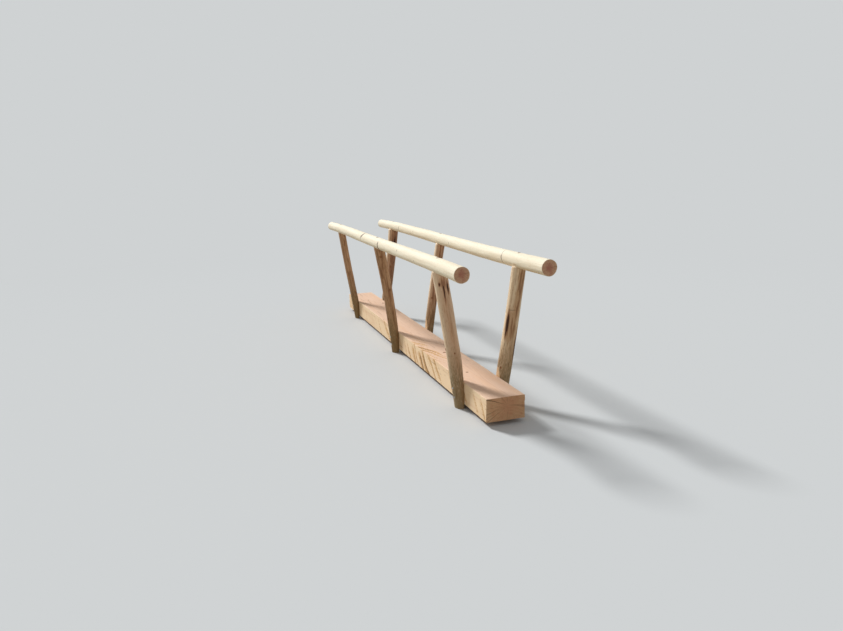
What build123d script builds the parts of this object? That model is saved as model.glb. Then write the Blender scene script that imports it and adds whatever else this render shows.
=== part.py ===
from build123d import *
import os

# A narrow log footbridge: one squared baulk to walk on, six splayed log posts hewn flat
# against its sides, and two round log rails lying in saddles on the post heads.
# Millimetres. +Y runs along the span, +X towards the right-hand rail, +Z up.
# The origin is on the floor, under the middle of the rails.

# Baulk
baulk_length = 4500.0
baulk_width = 310.0
baulk_depth = 180.0
baulk_arris = 6.0
foot_drop = 34.0            # how far the post feet reach below the baulk

# Rails: two tapered logs with their thick butts at the near end
butt_overhang = 2.0         # rail beyond the near end of the baulk
tip_overhang = 36.0         # rail beyond its far end
rail_rise = 913.0           # rail centre line above the walking surface
rails_over_all = 790.0      # outside to outside, at the butts
left_rail_butt = 120.0
left_rail_tip = 104.0
right_rail_butt = 125.0
right_rail_tip = 106.0
left_rail_lift = (-3.0, 1.0, -2.0, 1.0, -8.0)   # rise of the centre line, butt to tip
left_rail_sway = (0.0, 2.0, 3.0, 1.0, 0.0)      # and its bend towards the walkway
right_rail_lift = (4.0, -3.0, 2.0, 7.0, -4.0)
right_rail_sway = (0.0, 1.0, 4.0, 2.0, 0.0)

# Posts
near_post_inset = 472.0     # near pair, from the near end of the baulk
far_post_inset = 527.0      # far pair, from its far end
middle_post_shift = 9.0     # middle pair, from halfway between the others
post_stand_off = 38.0       # post centre line outside the baulk's side, at walking level
saddle_depth = 26.0         # how deep a rail lies in the head of a post
seat_clearance = 0.3        # air between a rail and its saddle
post_spare = 60.0           # raw log beyond each trimmed end
head_ease = 20.0            # rounding of the sawn rim of a post head

# Diameters of each post log, at the foot and at the head
near_left_size = (112.0, 116.0)
middle_left_size = (95.0, 106.0)
far_left_size = (84.0, 88.0)
near_right_size = (118.0, 112.0)
middle_right_size = (96.0, 99.0)
far_right_size = (110.0, 124.0)

# How far each post log bows outwards and along the span, at its foot and at its middle
near_left_bow = ((-2.0, 0.0), (-7.0, 3.0))
middle_left_bow = ((14.0, 2.0), (-8.0, -3.0))
far_left_bow = ((-2.0, -3.0), (1.0, 2.0))
near_right_bow = ((4.0, 3.0), (8.0, -2.0))
middle_right_bow = ((-8.0, -2.0), (-8.0, 3.0))
far_right_bow = ((10.0, 2.0), (16.0, -2.0))

# Coach screws that hold each post to the baulk
screw_shank = 12.0
screw_grip = 95.0           # screw length inside the baulk
screw_point = 12.0
screw_head_flats = 19.0
screw_head_height = 8.0
screw_head_turns = (17.0, 42.0)     # how the upper and the lower head came to rest, degrees
screw_from_top = 52.0       # upper screw, below walking level
screw_spacing = 76.0        # upper screw to lower screw
screw_washer = 30.0
screw_washer_thickness = 3.0
screw_recess = 34.0         # recess for head and washer in the round of the post
screw_recess_depth = 18.0

# The longer screw that holds a rail down on each post
rail_screw_shank = 10.0
rail_screw_grip = 150.0     # screw length inside the post
rail_screw_head_flats = 17.0
rail_screw_head_height = 7.0
rail_screw_head_turn = 11.0
rail_washer = 26.0
rail_washer_thickness = 2.5
rail_recess = 30.0
rail_recess_depth = 20.0

# All screws
screw_tip = 2.4             # blunt end of the point, across
washer_play = 1.0           # washer hole over shank, across
hole_clearance = 0.4        # between a shank and the wood round it

# Which pair along the span, which side, diameters and bow
POSTS = {
    "near_left_post": (-1, -1, near_left_size, near_left_bow),
    "middle_left_post": (0, -1, middle_left_size, middle_left_bow),
    "far_left_post": (1, -1, far_left_size, far_left_bow),
    "near_right_post": (-1, 1, near_right_size, near_right_bow),
    "middle_right_post": (0, 1, middle_right_size, middle_right_bow),
    "far_right_post": (1, 1, far_right_size, far_right_bow),
}
RAILS = {
    -1: (left_rail_butt, left_rail_tip, left_rail_lift, left_rail_sway),
    1: (right_rail_butt, right_rail_tip, right_rail_lift, right_rail_sway),
}

# Heights and places that follow from the sizes above
walk_level = foot_drop + baulk_depth
rail_level = walk_level + rail_rise
side_face = baulk_width / 2
rail_length = butt_overhang + baulk_length + tip_overhang
baulk_near_end = butt_overhang - rail_length / 2
near_pair = baulk_near_end + near_post_inset
far_pair = baulk_near_end + baulk_length - far_post_inset
PAIRS = {-1: near_pair, 0: (near_pair + far_pair) / 2 + middle_post_shift, 1: far_pair}


def rail_centre(side, share):
    """Centre and radius of a rail at a share of its length from the butt."""
    butt, tip, lift, sway = RAILS[side]
    place = min(max(share, 0.0), 1.0) * (len(lift) - 1)
    i = min(int(place), len(lift) - 2)
    t = place - i
    rise = lift[i] + (lift[i + 1] - lift[i]) * t
    bend = sway[i] + (sway[i + 1] - sway[i]) * t
    radius = (butt + (tip - butt) * share) / 2
    x = side * (rails_over_all / 2 - butt / 2 - bend)
    y = rail_length * (share - 0.5)
    return Vector(x, y, rail_level + rise), radius


def rail_over(name):
    """Centre and radius of the rail where it crosses a post."""
    pair, side, _, _ = POSTS[name]
    return rail_centre(side, PAIRS[pair] / rail_length + 0.5)


def rail_log(side, margin=0.0):
    """A rail's log, or with a margin the shape that its saddles are cut with."""
    count = len(RAILS[side][2])
    rounds = []
    for i in range(count):
        centre, radius = rail_centre(side, i / (count - 1))
        rounds.append(Plane(centre, x_dir=(1, 0, 0), z_dir=(0, 1, 0)) * Circle(radius + margin))
    return loft(rounds)


def post_axis(name, level):
    """Point on a post's straight reference line at a height."""
    pair, side, _, _ = POSTS[name]
    head, _ = rail_over(name)
    foot_x = side * (side_face + post_stand_off)
    lean = (head.X - foot_x) / (head.Z - walk_level)
    return Vector(foot_x + lean * (level - walk_level), PAIRS[pair], level)


def post_log(name):
    """A post's raw log, longer than the post at both ends."""
    _, side, (foot_size, head_size), (foot_bow, middle_bow) = POSTS[name]
    low = post_axis(name, -post_spare)
    high = post_axis(name, rail_level + post_spare)
    along = (high - low).normalized()
    stops = (
        (0.0, foot_size, foot_bow),
        (0.5, (foot_size + head_size) / 2, middle_bow),
        (1.0, head_size, (0.0, 0.0)),
    )
    rounds = []
    for share, size, bow in stops:
        centre = low + (high - low) * share + Vector(side * bow[0], bow[1], 0)
        rounds.append(Plane(centre, x_dir=(0, 1, 0), z_dir=along) * Circle(size / 2))
    return loft(rounds)


def outer_face(name, level):
    """How far out the round of a post reaches at a height."""
    _, _, (foot_size, head_size), (foot_bow, middle_bow) = POSTS[name]
    share = (level + post_spare) / (rail_level + 2 * post_spare)
    size = foot_size + (head_size - foot_size) * share
    bow = foot_bow[0] + (middle_bow[0] - foot_bow[0]) * min(share * 2, 1.0)
    return abs(post_axis(name, level).X) + bow + size / 2


def screw_levels():
    """Heights of the upper and the lower screw through a post."""
    upper = walk_level - screw_from_top
    return (upper, upper - screw_spacing)


def screw_seat(name, level):
    """Plane of a screw's washer seat, facing out of the post."""
    pair, side, _, _ = POSTS[name]
    x = side * (outer_face(name, level) - screw_recess_depth)
    return Plane((x, PAIRS[pair], level), x_dir=(0, 1, 0), z_dir=(side, 0, 0))


def rail_seat(name):
    """Plane of the washer seat in the top of a rail, over a post."""
    centre, radius = rail_over(name)
    return Plane((centre.X, centre.Y, centre.Z + radius - rail_recess_depth))


def rail_screw_length(name):
    """Length of a rail screw under its washer."""
    centre, radius = rail_over(name)
    return rail_seat(name).origin.Z - (centre.Z - radius) + rail_screw_grip


def bore(seat, shank, length):
    """The hole for a shank, down from its seat."""
    return seat * Pos(0, 0, -length / 2) * Cylinder(shank / 2 + hole_clearance, length)


def recess(seat, diameter, depth):
    """The open space above a seat, out past the round of the log."""
    return seat * Pos(0, 0, depth) * Cylinder(diameter / 2, 2 * depth)


def washer(seat, outside, shank, thickness):
    """A flat washer lying on its seat."""
    ring = Circle(outside / 2) - Circle((shank + washer_play) / 2)
    return seat * extrude(ring, thickness)


def coach_screw(seat, shank, length, flats, head_height, packing, turn):
    """A hexagon-headed wood screw whose head stands on a washer."""
    head = extrude(RegularPolygon(flats / 2, 6, major_radius=False), head_height)
    head = Pos(0, 0, packing) * Rot(0, 0, turn) * head
    shaft_length = length + packing - screw_point
    shaft = Pos(0, 0, packing - shaft_length / 2) * Cylinder(shank / 2, shaft_length)
    point = Pos(0, 0, -length + screw_point / 2) * Cone(screw_tip / 2, shank / 2, screw_point)
    return seat * (head + shaft + point)


def post(name):
    """A post: trimmed, rounded at the head, hewn flat on the baulk's side, saddled and bored."""
    pair, side, _, _ = POSTS[name]
    y = PAIRS[pair]
    centre, radius = rail_over(name)
    head_level = centre.Z - radius + saddle_depth
    wide = rails_over_all
    body = post_log(name) & Pos(0, y, head_level / 2) * Box(2 * wide, wide, head_level)
    body = fillet(body.faces().sort_by(Axis.Z)[-1].edges(), head_ease)
    body -= Pos(side * (side_face - wide / 2), y, head_level / 2) * Box(wide, wide, head_level)
    body -= rail_log(side, seat_clearance)
    for level in screw_levels():
        seat = screw_seat(name, level)
        body -= recess(seat, screw_recess, screw_recess_depth)
        body -= bore(seat, screw_shank, abs(seat.origin.X) - side_face + screw_grip)
    body -= bore(rail_seat(name), rail_screw_shank, rail_screw_length(name) + hole_clearance)
    return body


def rail(side):
    """A rail, recessed and bored over each of its posts."""
    body = rail_log(side)
    for name in POSTS:
        if POSTS[name][1] == side:
            _, radius = rail_over(name)
            body -= recess(rail_seat(name), rail_recess, rail_recess_depth)
            body -= bore(rail_seat(name), rail_screw_shank, 2 * radius)
    return body


def baulk():
    """The squared baulk, with eased long edges and pilot holes for the screws."""
    body = Box(baulk_width, baulk_length, baulk_depth)
    body = fillet(body.edges().filter_by(Axis.Y), baulk_arris)
    body = Pos(0, baulk_near_end + baulk_length / 2, walk_level - baulk_depth / 2) * body
    for name, (pair, side, _, _) in POSTS.items():
        for level in screw_levels():
            mouth = Plane((side * side_face, PAIRS[pair], level), x_dir=(0, 1, 0), z_dir=(side, 0, 0))
            body -= bore(mouth, screw_shank, screw_grip + hole_clearance)
    return body


def post_screws(name):
    """The two coach screws of a post."""
    screws = []
    for level, turn in zip(screw_levels(), screw_head_turns):
        seat = screw_seat(name, level)
        length = abs(seat.origin.X) - side_face + screw_grip
        screws.append(coach_screw(seat, screw_shank, length, screw_head_flats,
                                  screw_head_height, screw_washer_thickness, turn))
    return Compound(children=screws)


def post_washers(name):
    """The washers under a post's two coach screws."""
    seats = [screw_seat(name, level) for level in screw_levels()]
    return Compound(children=[washer(seat, screw_washer, screw_shank, screw_washer_thickness)
                              for seat in seats])


def rail_screw(name):
    """The screw that holds a rail on one post."""
    return coach_screw(rail_seat(name), rail_screw_shank, rail_screw_length(name), rail_screw_head_flats,
                       rail_screw_head_height, rail_washer_thickness, rail_screw_head_turn)


def rail_screw_washer(name):
    """The washer under a rail screw."""
    return washer(rail_seat(name), rail_washer, rail_screw_shank, rail_washer_thickness)


pieces = {"deck_baulk": baulk(), "left_rail": rail(-1), "right_rail": rail(1)}
for name in POSTS:
    place = name.removesuffix("_post")
    pieces[name] = post(name)
    pieces[place + "_coach_screws"] = post_screws(name)
    pieces[place + "_coach_washers"] = post_washers(name)
    pieces[place + "_rail_screw"] = rail_screw(name)
    pieces[place + "_rail_washer"] = rail_screw_washer(name)

os.makedirs("parts", exist_ok=True)
for name, piece in pieces.items():
    export_step(piece, "parts/" + name + ".step")
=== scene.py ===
"""A narrow log footbridge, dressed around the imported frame: peeled logs round one sawn baulk.

Metres throughout. +Y runs along the span, +X towards the right-hand rail, +Z up, and the origin is
on the floor under the middle of the rails. A log is worked out in its own frame, with Z along it.
"""

import logging
import math
from dataclasses import dataclass, replace
from enum import Enum

import bpy
import numpy as np
from mathutils import Matrix, Vector


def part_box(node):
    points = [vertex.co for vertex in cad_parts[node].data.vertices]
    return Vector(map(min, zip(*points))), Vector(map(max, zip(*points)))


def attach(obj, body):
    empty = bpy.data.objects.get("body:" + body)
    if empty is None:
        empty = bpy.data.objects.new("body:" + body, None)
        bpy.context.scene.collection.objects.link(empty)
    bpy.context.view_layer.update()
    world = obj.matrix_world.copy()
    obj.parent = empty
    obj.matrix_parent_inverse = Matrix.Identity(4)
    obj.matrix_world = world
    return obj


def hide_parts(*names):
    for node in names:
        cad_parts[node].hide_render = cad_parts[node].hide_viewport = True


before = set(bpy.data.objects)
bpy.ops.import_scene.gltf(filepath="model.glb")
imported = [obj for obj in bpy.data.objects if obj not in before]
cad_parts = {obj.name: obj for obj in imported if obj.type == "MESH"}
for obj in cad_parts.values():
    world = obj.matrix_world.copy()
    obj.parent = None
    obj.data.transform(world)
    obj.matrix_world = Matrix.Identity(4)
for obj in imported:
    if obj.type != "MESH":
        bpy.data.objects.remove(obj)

LOG = logging.getLogger("footbridge")
BODY = "root"

Tree = bpy.types.NodeTree
Socket = bpy.types.NodeSocket
Faces = list[tuple[int, ...]]
Range = tuple[float, float]

# The Mix node's numbers for its two colour inputs and its colour output
UNDER, OVER, MIXED = 6, 7, 2
# How far a knot reaches each way, across the wood and along it, in widths of its own
KNOT_ACROSS, KNOT_ALONG = 0.5, 0.62
# The rings of points that close an end face, as shares of its outline
END_RINGS = (0.94, 0.82, 0.68, 0.53, 0.38, 0.23, 0.09)
# How many sides the round recesses have
ROUND_SIDES = 40


class Side(Enum):
    """Which side of the walkway a piece is on; the value is the sign of its X."""

    LEFT = -1
    RIGHT = 1


class Pair(Enum):
    """Which pair of posts, counted from the near end; the value is its place on the span."""

    NEAR = -1.795
    MIDDLE = -0.0355
    FAR = 1.706


def linear(colour: str) -> tuple[float, float, float, float]:
    """Turns an sRGB hex colour into linear light.

    Args:
        colour: six hex digits after a "#".

    Returns:
        Red, green, blue and an alpha of 1.
    """
    parts = [int(colour[i : i + 2], 16) / 255 for i in (1, 3, 5)]
    # The curve of the sRGB standard, which is straight near black
    light = [p / 12.92 if p <= 0.04045 else ((p + 0.055) / 1.055) ** 2.4 for p in parts]
    return (light[0], light[1], light[2], 1.0)


def add_node(
    tree: Tree, kind: str, inputs: dict | None = None, **settings: object
) -> bpy.types.Node:
    """Adds a node, sets it up and links it.

    Args:
        tree: the node tree that gets the node.
        kind: the node's type, such as "ShaderNodeTexNoise".
        inputs: for each input, by name or number, its value or the output that feeds it.
        settings: the node's own properties.

    Returns:
        The new node.
    """
    node = tree.nodes.new(kind)
    for name, value in settings.items():
        setattr(node, name, value)
    for key, value in (inputs or {}).items():
        if isinstance(value, Socket):
            tree.links.new(value, node.inputs[key])
        else:
            node.inputs[key].default_value = value
    return node


def empty_tree(owner: bpy.types.Material | bpy.types.World) -> Tree:
    """Switches on the node tree of a material or world, and clears it.

    Args:
        owner: the material or world.

    Returns:
        The empty tree.
    """
    owner.use_nodes = True
    owner.node_tree.nodes.clear()
    return owner.node_tree


@dataclass(frozen=True)
class Coat:
    """A colour laid by a mask: none where the mask is at low, and the most of it from high on.

    High may be the lower of the two, and then the colour shows where the mask is low.
    """

    mask: str
    low: float
    high: float
    most: float
    colour: str


@dataclass(frozen=True)
class Grain:
    """A noise drawn out one way: its size across and along in metres, its detail and its twist.

    It runs along the wood, or along the coordinate that axis gives.
    """

    across: float
    along: float
    detail: float = 2.0
    twist: float = 0.2
    axis: int | None = None


@dataclass(frozen=True, kw_only=True)
class WoodFinish:
    """What every wood here shares: noises along the grain, marks held by the mesh, and coats.

    The axis is the number of the coordinate that runs along the wood.
    """

    name: str
    base: str
    coats: tuple[Coat, ...]
    grains: dict[str, Grain]
    marks: tuple[str, ...]
    height: dict[str, float]
    roughness: float
    axis: int = 2
    bump: float = 0.0008
    bump_strength: float = 0.7
    gloss: float = 0.3
    ior: float = 1.5

    def masks(self, tree: Tree, place: Socket) -> dict[str, Socket]:
        """Builds the masks that the coats read.

        Args:
            tree: the material's node tree.
            place: the place in the wood, in metres.

        Returns:
            Each mask's output by its name.
        """
        found = {}
        for key, grain in self.grains.items():
            scale = [1 / grain.across] * 3
            scale[self.axis if grain.axis is None else grain.axis] = 1 / grain.along
            drawn = add_node(tree, "ShaderNodeMapping", {"Vector": place, "Scale": scale})
            noise = {"Vector": drawn.outputs[0], "Scale": 1.0}
            noise |= {"Detail": grain.detail, "Distortion": grain.twist}
            found[key] = add_node(tree, "ShaderNodeTexNoise", noise).outputs["Fac"]
        for key in self.marks:
            found[key] = add_node(tree, "ShaderNodeAttribute", attribute_name=key).outputs["Fac"]
        return found

    def material(self) -> bpy.types.Material:
        """Builds the material, or finds it if it has been built.

        Returns:
            A material for a mesh that holds its place in the wood as "grain" and the finish's
            marks.
        """
        if self.name in bpy.data.materials:
            return bpy.data.materials[self.name]
        material = bpy.data.materials.new(self.name)
        tree = empty_tree(material)
        place = add_node(tree, "ShaderNodeAttribute", attribute_name="grain").outputs["Vector"]
        masks = self.masks(tree, place)
        wood = linear(self.base)
        for coat in self.coats:
            reach = {"Value": masks[coat.mask], "From Min": coat.low, "From Max": coat.high}
            shown = add_node(tree, "ShaderNodeMapRange", reach | {"To Max": coat.most})
            layers = {0: shown.outputs[0], UNDER: wood, OVER: linear(coat.colour)}
            wood = add_node(tree, "ShaderNodeMix", layers, data_type="RGBA").outputs[MIXED]
        height = 0.0
        for key, share in self.height.items():
            terms = {0: masks[key], 1: share, 2: height}
            height = add_node(tree, "ShaderNodeMath", terms, operation="MULTIPLY_ADD").outputs[0]
        relief = {"Height": height, "Strength": self.bump_strength, "Distance": self.bump}
        finish = {
            "Base Color": wood,
            "Roughness": self.roughness,
            "IOR": self.ior,
            "Specular IOR Level": self.gloss,
            "Normal": add_node(tree, "ShaderNodeBump", relief).outputs[0],
        }
        surface = add_node(tree, "ShaderNodeBsdfPrincipled", finish)
        add_node(tree, "ShaderNodeOutputMaterial", {"Surface": surface.outputs[0]})
        return material


@dataclass(frozen=True, kw_only=True)
class PeeledFinish(WoodFinish):
    """Sapwood of a young conifer log, stripped of its bark by a peeling iron and left unplaned.

    The eye sees pale silky fibres, brown inner bark left in ragged streaks between the strokes of
    the iron, near-black scraps of bark, dark rings round flush knots, and hardly any gloss.
    """

    bast_share: float
    # Where the mesh's mark, of bark and of painted shade, begins to count as bark, and the highest
    # that it counts
    bark_from: float = 0.3
    bark_most: float = 1.3
    raggedness: float = 1.5

    def masks(self, tree: Tree, place: Socket) -> dict[str, Socket]:
        """Adds the masks of what is left of the bark, which carries painted shade as well, and of
        the speckled darkening towards the foot.

        Args:
            tree: the material's node tree.
            place: the place in the log, in metres.

        Returns:
            Each mask's output by its name.
        """
        found = super().masks(tree, place)
        thick = {"Value": found["bark"], "From Min": self.bark_from, "From Max": self.bark_most}
        kept = add_node(tree, "ShaderNodeMapRange", thick | {"To Max": self.bark_most})
        unpeeled = {0: found["unpeeled"], 1: self.bast_share, 2: kept.outputs[0]}
        left = add_node(tree, "ShaderNodeMath", unpeeled, operation="MULTIPLY_ADD")
        ragged = {0: found["ragged"], 1: self.raggedness, 2: left.outputs[0]}
        torn = add_node(tree, "ShaderNodeMath", ragged, operation="MULTIPLY_ADD")
        spread = {0: found["speck"], 1: found["floor_nearness"]}
        speckled_darkening = add_node(tree, "ShaderNodeMath", spread, operation="MULTIPLY")
        return found | {"left": torn.outputs[0], "speckled_darkening": speckled_darkening.outputs[0]}


def peeled(
    name: str, base: str, fibre: str, bast: str, bast_share: float, film: str
) -> PeeledFinish:
    """Sets out the coats of a peeled log.

    Args:
        name: the material's name.
        base: the sapwood.
        fibre: its darker fibres.
        bast: the inner bark in streaks.
        bast_share: how much of it is left, from 0 to 1.
        film: the thin brown film at the edges of the streaks, also used for painted shade.

    Returns:
        The finish.
    """
    # A log that keeps more of its inner bark has more specks of it, and more drying checks
    film_specks = 0.2 + 0.5 * bast_share
    bast_specks = min(0.55, 0.05 + 1.3 * bast_share)
    checks = 0.6 * bast_share
    return PeeledFinish(
        name=name,
        base=base,
        bast_share=bast_share,
        grains={
            # Fibres are under 0.1 mm wide; they are drawn 2 mm wide so that they show at all
            "fibre": Grain(0.002, 0.2, 3.0),
            "tone": Grain(0.035, 0.5),
            "speck": Grain(0.009, 0.03, 3.0, 0.6),
            "ragged": Grain(0.011, 0.12, 5.0, 0.5),
            "check": Grain(0.02, 0.9, 1.0),
        },
        marks=("knot", "bark", "score", "unpeeled", "floor_nearness"),
        coats=(
            Coat("fibre", 0.42, 0.75, 0.5, fibre),
            Coat("tone", 0.4, 0.68, 0.6, fibre),
            Coat("speck", 0.5, 0.74, film_specks, film),
            Coat("speck", 0.62, 0.7, bast_specks, bast),
            # The film, bast and near-black coats from the bark mark: bark, except where the scraps
            # over the posts' sides away from the key light and along the rails' undersides lay
            # painted shade
            Coat("bark", 0.18, 0.36, 0.62, film),
            Coat("left", 0.9, 1.25, 0.55, film),
            Coat("left", 1.12, 1.42, 0.75, bast),
            # A speckled olive darkening towards the foot
            Coat("speckled_darkening", 0.05, 0.36, 0.72, "#75653F"),
            Coat("left", 1.66, 1.76, 0.95, "#3A1C0E"),
            Coat("knot", 0.3, 0.5, 0.85, "#7C4E2D"),
            Coat("knot", 0.62, 0.85, 0.8, "#A8744A"),
            Coat("score", 0.1, 0.7, 0.92, "#543A2D"),
            Coat("check", 0.68, 0.7, checks, "#6B4A31"),
        ),
        height={"left": 0.5, "fibre": 0.6, "speck": 0.4, "check": -0.5},
        roughness=0.66,
    )


@dataclass(frozen=True, kw_only=True)
class RingedFinish(WoodFinish):
    """Wood cut through its growth rings by a chain saw.

    The eye sees the rings round the pith, a redder heart, fine drying checks that run out from the
    pith, and the straight scratches and torn fibres that the chain leaves, without any gloss.
    """

    pith: tuple[float, float, float] = (0.004, -0.003, 0.0)
    ring_width: float = 0.0042
    waver: float = 0.012
    waver_size: tuple[float, float] = (0.045, 1.8)
    # The checks: how close together they run, and the middle value of the noise that draws them
    ray_scale: float = 3.5
    ray_value: float = 0.47

    def masks(self, tree: Tree, place: Socket) -> dict[str, Socket]:
        """Adds the rings, the distance from the pith and the checks.

        Args:
            tree: the material's node tree.
            place: the place in the wood, in metres.

        Returns:
            Each mask's output by its name.
        """
        scale, across = [1 / self.waver_size[0]] * 3, [1.0] * 3
        shift = [-p - self.waver / 2 for p in self.pith]
        scale[self.axis], across[self.axis], shift[self.axis] = 1 / self.waver_size[1], 0.0, 0.0
        drawn = add_node(tree, "ShaderNodeMapping", {"Vector": place, "Scale": scale})
        noise = {"Vector": drawn.outputs[0], "Scale": 1.0, "Detail": 2.0}
        waver = add_node(tree, "ShaderNodeTexNoise", noise)
        plane = {"Vector": place, "Scale": across, "Location": shift}
        flat = add_node(tree, "ShaderNodeMapping", plane)
        push = {0: waver.outputs["Color"], 1: [self.waver * a for a in across], 2: flat.outputs[0]}
        pushed = add_node(tree, "ShaderNodeVectorMath", push, operation="MULTIPLY_ADD").outputs[0]
        reach = add_node(tree, "ShaderNodeVectorMath", {0: pushed}, operation="LENGTH").outputs[1]
        turns = {0: reach, 1: math.tau / self.ring_width}
        turn = add_node(tree, "ShaderNodeMath", turns, operation="MULTIPLY").outputs[0]
        ring = add_node(tree, "ShaderNodeMath", {0: turn}, operation="SINE").outputs[0]
        # A noise of nothing but the direction from the pith has thin rays where it passes a value
        aim = add_node(tree, "ShaderNodeVectorMath", {0: pushed}, operation="NORMALIZE")
        noise = {"Vector": aim.outputs[0], "Scale": self.ray_scale, "Detail": 3.0}
        rays = {0: add_node(tree, "ShaderNodeTexNoise", noise).outputs["Fac"], 1: self.ray_value}
        away = add_node(tree, "ShaderNodeMath", rays, operation="SUBTRACT").outputs[0]
        ray = add_node(tree, "ShaderNodeMath", {0: away}, operation="ABSOLUTE").outputs[0]
        return super().masks(tree, place) | {"reach": reach, "ring": ring, "ray": ray}


def end_grain(
    name: str, base: str, late: str, heart: str, heart_most: float, radius: float = 0.06
) -> RingedFinish:
    """Sets out the coats of sawn end faces.

    Args:
        name: the material's name.
        base: the early wood.
        late: the dark rings.
        heart: the redder middle.
        heart_most: how strongly the middle shows.
        radius: how far the wood reaches from its pith.

    Returns:
        The finish.
    """
    return RingedFinish(
        name=name,
        base=base,
        grains={
            # The chain's scratches are about 1 mm apart; they are drawn 2.5 mm apart to show
            "scratch": Grain(0.0025, 0.07, 2.0, 0.0, axis=0),
            "blotch": Grain(0.022, 0.5, 3.0, 0.5),
        },
        marks=(),
        coats=(
            Coat("ring", 0.0, 1.0, 0.6, late),
            Coat("reach", 0.6 * radius, 0.25 * radius, heart_most, heart),
            Coat("blotch", 0.5, 0.66, heart_most, heart),
            Coat("reach", 0.78 * radius, radius, 0.45, "#E2C39E"),
            Coat("scratch", 0.5, 0.75, 0.35, late),
            Coat("ray", 0.01, 0.0, 0.7, "#553826"),
        ),
        height={"scratch": 1.0, "ring": 0.12},
        roughness=0.84,
        gloss=0.22,
    )


@dataclass(frozen=True, kw_only=True)
class BaulkFinish(RingedFinish):
    """Fresh Douglas fir ripped square by a chain saw, freehand, and left rough.

    The eye sees pinkish heartwood on the walking surface and pale yellow sapwood on the sides, long
    grain lines, slanted ochre strokes where the chain stopped and bit, and a furry matt surface.
    """

    raggedness: float = 0.8

    def masks(self, tree: Tree, place: Socket) -> dict[str, Socket]:
        """Adds the torn edge of the saw's strokes.

        Args:
            tree: the material's node tree.
            place: the place in the timber, in metres.

        Returns:
            Each mask's output by its name.
        """
        found = super().masks(tree, place)
        torn = {0: found["ragged"], 1: self.raggedness, 2: found["stroke"]}
        bitten = add_node(tree, "ShaderNodeMath", torn, operation="MULTIPLY_ADD")
        return found | {"bitten": bitten.outputs[0]}


@dataclass(frozen=True)
class ZincFinish:
    """Steel dipped in molten zinc.

    The eye sees dull grey metal with a faint spangle of crystals a few millimetres across.
    """

    name: str = "steel_hot_dip_galvanised"
    zinc: str = "#A9ADAE"
    crystal: str = "#C4C8C9"
    crystal_size: float = 0.004
    # The roughness of the smoothest crystals and of the dullest
    smoothest: float = 0.37
    dullest: float = 0.57

    def material(self) -> bpy.types.Material:
        """Builds the material.

        Returns:
            A metal material.
        """
        material = bpy.data.materials.new(self.name)
        tree = empty_tree(material)
        place = add_node(tree, "ShaderNodeTexCoord").outputs["Object"]
        size = {"Vector": place, "Scale": 1 / self.crystal_size}
        cells = add_node(tree, "ShaderNodeTexVoronoi", size)
        tone = add_node(tree, "ShaderNodeSeparateColor", {0: cells.outputs["Color"]})
        blend = {0: tone.outputs[0], UNDER: linear(self.zinc), OVER: linear(self.crystal)}
        zinc = add_node(tree, "ShaderNodeMix", blend, data_type="RGBA")
        dulling = {"Value": tone.outputs[1], "To Min": self.smoothest, "To Max": self.dullest}
        dull = add_node(tree, "ShaderNodeMapRange", dulling)
        metal = {"Base Color": zinc.outputs[MIXED], "Metallic": 1.0, "Roughness": dull.outputs[0]}
        surface = add_node(tree, "ShaderNodeBsdfPrincipled", metal)
        add_node(tree, "ShaderNodeOutputMaterial", {"Surface": surface.outputs[0]})
        return material


RAIL_SKIN = peeled("pine_log_peeled", "#FCF4DD", "#F4E5C9", "#B48A5C", 0.06, "#E6CDA8")
PALE_SKIN = peeled("spruce_log_peeled", "#FBE7CB", "#E4C29C", "#8C5F45", 0.2, "#BE8C68")
WORN_SKIN = peeled("spruce_log_peeled_with_bast", "#F3DFC0", "#DBBA93", "#8C6244", 0.3, "#BC9168")
# Browner wood for the middle and far left posts, set somewhat darker still towards their look in
# shade: partly darker wood, partly painted shade
DARK_SKIN = peeled("larch_log_peeled_with_bast", "#CDA681", "#AF8765", "#855A3B", 0.42, "#9C7350")
RAIL_END = end_grain("pine_log_end_sawn", "#D0A688", "#A07456", "#A66355", 0.6)
FRESH_CUT = end_grain("pine_log_cut_fresh", "#EFD5AE", "#D3A878", "#DDB48A", 0.4)
BAULK_PITH = (0.02, 0.0, 0.15)
BAULK_END = replace(
    end_grain("douglas_fir_end_chain_sawn", "#DFB58E", "#BB8660", "#CB9070", 0.45, 0.17),
    axis=1,
    pith=BAULK_PITH,
    ring_width=0.0058,
)
BAULK_WOOD = BaulkFinish(
    name="douglas_fir_chain_sawn",
    base="#E9C8AE",
    axis=1,
    grains={
        "streak": Grain(0.006, 0.55, 3.0),
        "tone": Grain(0.05, 0.8),
        "tooth": Grain(0.03, 0.008, 3.0, 0.4),
        "fur": Grain(0.0016, 0.006),
        "check": Grain(0.02, 0.35, 1.0),
        "ragged": Grain(0.009, 0.035, 4.0, 0.5),
    },
    marks=("stroke", "knot", "sap"),
    coats=(
        Coat("ring", -0.2, 1.0, 0.4, "#D3AA90"),
        Coat("streak", 0.5, 0.75, 0.45, "#D8AE92"),
        Coat("sap", 0.0, 1.0, 0.92, "#FFE5C1"),
        Coat("tone", 0.5, 0.7, 0.45, "#E6BD9A"),
        Coat("bitten", 0.66, 0.9, 0.75, "#CFA062"),
        Coat("bitten", 1.02, 1.22, 0.8, "#8A6440"),
        Coat("knot", 0.3, 0.6, 0.85, "#85573A"),
        Coat("knot", 0.7, 0.95, 0.7, "#A87850"),
        Coat("check", 0.7, 0.72, 0.3, "#6A4630"),
    ),
    height={"tooth": 0.8, "fur": 0.45, "streak": 0.5, "check": -0.6},
    roughness=0.82,
    bump=0.0014,
    gloss=0.22,
    pith=BAULK_PITH,
    ring_width=0.0065,
    waver=0.07,
    waver_size=(0.2, 1.8),
)


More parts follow.
